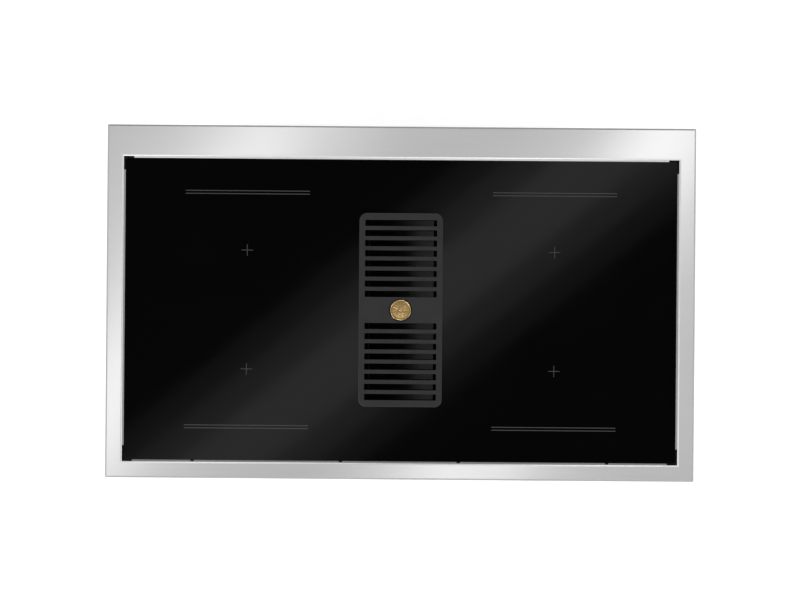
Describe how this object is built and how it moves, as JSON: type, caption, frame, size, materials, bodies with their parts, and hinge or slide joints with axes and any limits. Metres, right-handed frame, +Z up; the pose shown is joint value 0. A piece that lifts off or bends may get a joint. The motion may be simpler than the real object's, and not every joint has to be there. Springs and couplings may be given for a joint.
{
  "type": "induction range cooker",
  "caption": "Free-standing range cooker: black glass induction hob with a vent in its middle under a lift-off cast grille, steel worktop, wide oven with a drop-down door, drawer and knobs.",
  "frame": {"origin": "on the floor, under the middle of the worktop", "axes": "+Z up, the front with its knobs and oven door faces -Y, +X is the right of someone standing in front of it"},
  "size_m": [1, 0.6, 0.906],
  "materials": {
    "brushed_steel": "brushed",
    "polished_steel": "polished",
    "side_steel": "brushed",
    "bare_sheet": "zinc-coated",
    "tray_aluminium": "mill",
    "ceramic_glass": "gloss, black",
    "clear_glass": "clear",
    "black_rubber": "matt",
    "cast_grille": "matt enamel",
    "brass": "satin",
    "filter_metal": "matt, dark",
    "black_plastic": "moulded",
    "grey_plastic": "moulded",
    "blower_parts": "moulded",
    "motor_metal": "satin",
    "former_board": "moulded",
    "copper": "enamelled wire",
    "circuit_board": "coated board",
    "mineral_wool": "fibrous",
    "enamel": "gloss enamel",
    "chromed_wire": "bright",
    "element_metal": "oxidised sheath",
    "fan_steel": "mill",
    "lamp_glass": "frosted",
    "display_black": "gloss",
    "foot_metal": "satin"
  },
  "bodies": {
    "cabinet": {"worktop": "brushed_steel", "ceramic_glass": "ceramic_glass", "glass_seals": "black_rubber", "trim_strips": "polished_steel", "vent_well": "black_plastic", "suction_duct": "grey_plastic", "fan_chamber": "bare_sheet", "blower_scroll": "black_plastic", "blower_motor": "motor_metal", "exhaust_spigot": "black_plastic", "coil_trays": "tray_aluminium", "coil_formers": "former_board", "induction_coils": "copper", "power_boards": "circuit_board", "cooling_fan_frames": "black_plastic", "side_panels": "side_steel", "back_panel": "bare_sheet", "terminal_box": "black_plastic", "base_pan": "bare_sheet", "front_frame": "bare_sheet", "insulation": "mineral_wool", "oven_cavity": "enamel", "shelf_ladders": "chromed_wire", "grill_element": "element_metal", "ring_elements": "element_metal", "fan_covers": "enamel", "oven_fan_motors": "motor_metal", "oven_lamps": "lamp_glass", "door_gasket": "black_rubber", "drawer_runners": "bare_sheet", "fascia": "brushed_steel", "control_display": "display_black", "rotary_switches": "black_plastic", "knob_bezels": "brass", "feet": "foot_metal"},
    "grille": {"vent_grille": "cast_grille", "medallion": "brass", "grease_filters": "filter_metal"},
    "blower_wheel": {"blower_wheel": "blower_parts"},
    "cooling_fan_left": {"cooling_fan_left": "black_plastic"},
    "cooling_fan_right": {"cooling_fan_right": "black_plastic"},
    "oven_fan_left": {"oven_fan_left": "fan_steel"},
    "oven_fan_right": {"oven_fan_right": "fan_steel"},
    "wire_shelf": {"wire_shelf": "chromed_wire"},
    "baking_tray": {"baking_tray": "enamel"},
    "door": {"door_skin": "brushed_steel", "door_window": "ceramic_glass", "door_inner_glass": "clear_glass", "door_liner": "enamel", "door_handle": "polished_steel", "door_hinges": "bare_sheet"},
    "drawer": {"drawer_front": "brushed_steel", "drawer_box": "bare_sheet", "drawer_handle": "polished_steel"},
    "knob_1": {"knob_1": "polished_steel"},
    "knob_2": {"knob_2": "polished_steel"},
    "knob_3": {"knob_3": "polished_steel"},
    "knob_4": {"knob_4": "polished_steel"},
    "knob_5": {"knob_5": "polished_steel"},
    "knob_6": {"knob_6": "polished_steel"}
  },
  "joints": [
    {"name": "grille_lift", "type": "slide", "parent": "cabinet", "child": "grille", "axis": [0, 0, 1], "range_m": [0, 0.15]},
    {"name": "blower_spin", "type": "hinge", "parent": "cabinet", "child": "blower_wheel", "pos_m": [0, 0.15, 0.18], "axis": [1, 0, 0], "continuous": true},
    {"name": "left_cooling_fan_spin", "type": "hinge", "parent": "cabinet", "child": "cooling_fan_left", "pos_m": [-0.41, 0.165, 0.833], "axis": [0, 0, 1], "continuous": true},
    {"name": "right_cooling_fan_spin", "type": "hinge", "parent": "cabinet", "child": "cooling_fan_right", "pos_m": [0.41, 0.165, 0.833], "axis": [0, 0, 1], "continuous": true},
    {"name": "left_oven_fan_spin", "type": "hinge", "parent": "cabinet", "child": "oven_fan_left", "pos_m": [-0.19, 0.18, 0.475], "axis": [0, 1, 0], "continuous": true},
    {"name": "right_oven_fan_spin", "type": "hinge", "parent": "cabinet", "child": "oven_fan_right", "pos_m": [0.19, 0.18, 0.475], "axis": [0, 1, 0], "continuous": true},
    {"name": "shelf_slide", "type": "slide", "parent": "cabinet", "child": "wire_shelf", "axis": [0, -1, 0], "range_m": [0, 0.018]},
    {"name": "tray_slide", "type": "slide", "parent": "cabinet", "child": "baking_tray", "axis": [0, -1, 0], "range_m": [0, 0.018]},
    {"name": "door_hinge", "type": "hinge", "parent": "cabinet", "child": "door", "pos_m": [0, -0.238, 0.25], "axis": [1, 0, 0], "range_deg": [0, 90]},
    {"name": "drawer_slide", "type": "slide", "parent": "cabinet", "child": "drawer", "axis": [0, -1, 0], "range_m": [0, 0.2]},
    {"name": "knob_1_turn", "type": "hinge", "parent": "cabinet", "child": "knob_1", "pos_m": [-0.43, -0.266, 0.801], "axis": [0, 1, 0], "range_deg": [0, 270]},
    {"name": "knob_2_turn", "type": "hinge", "parent": "cabinet", "child": "knob_2", "pos_m": [-0.33, -0.266, 0.801], "axis": [0, 1, 0], "range_deg": [0, 270]},
    {"name": "knob_3_turn", "type": "hinge", "parent": "cabinet", "child": "knob_3", "pos_m": [-0.23, -0.266, 0.801], "axis": [0, 1, 0], "range_deg": [0, 270]},
    {"name": "knob_4_turn", "type": "hinge", "parent": "cabinet", "child": "knob_4", "pos_m": [0.23, -0.266, 0.801], "axis": [0, 1, 0], "range_deg": [0, 270]},
    {"name": "knob_5_turn", "type": "hinge", "parent": "cabinet", "child": "knob_5", "pos_m": [0.33, -0.266, 0.801], "axis": [0, 1, 0], "range_deg": [0, 270]},
    {"name": "knob_6_turn", "type": "hinge", "parent": "cabinet", "child": "knob_6", "pos_m": [0.43, -0.266, 0.801], "axis": [0, 1, 0], "range_deg": [0, 270]}
  ]
}
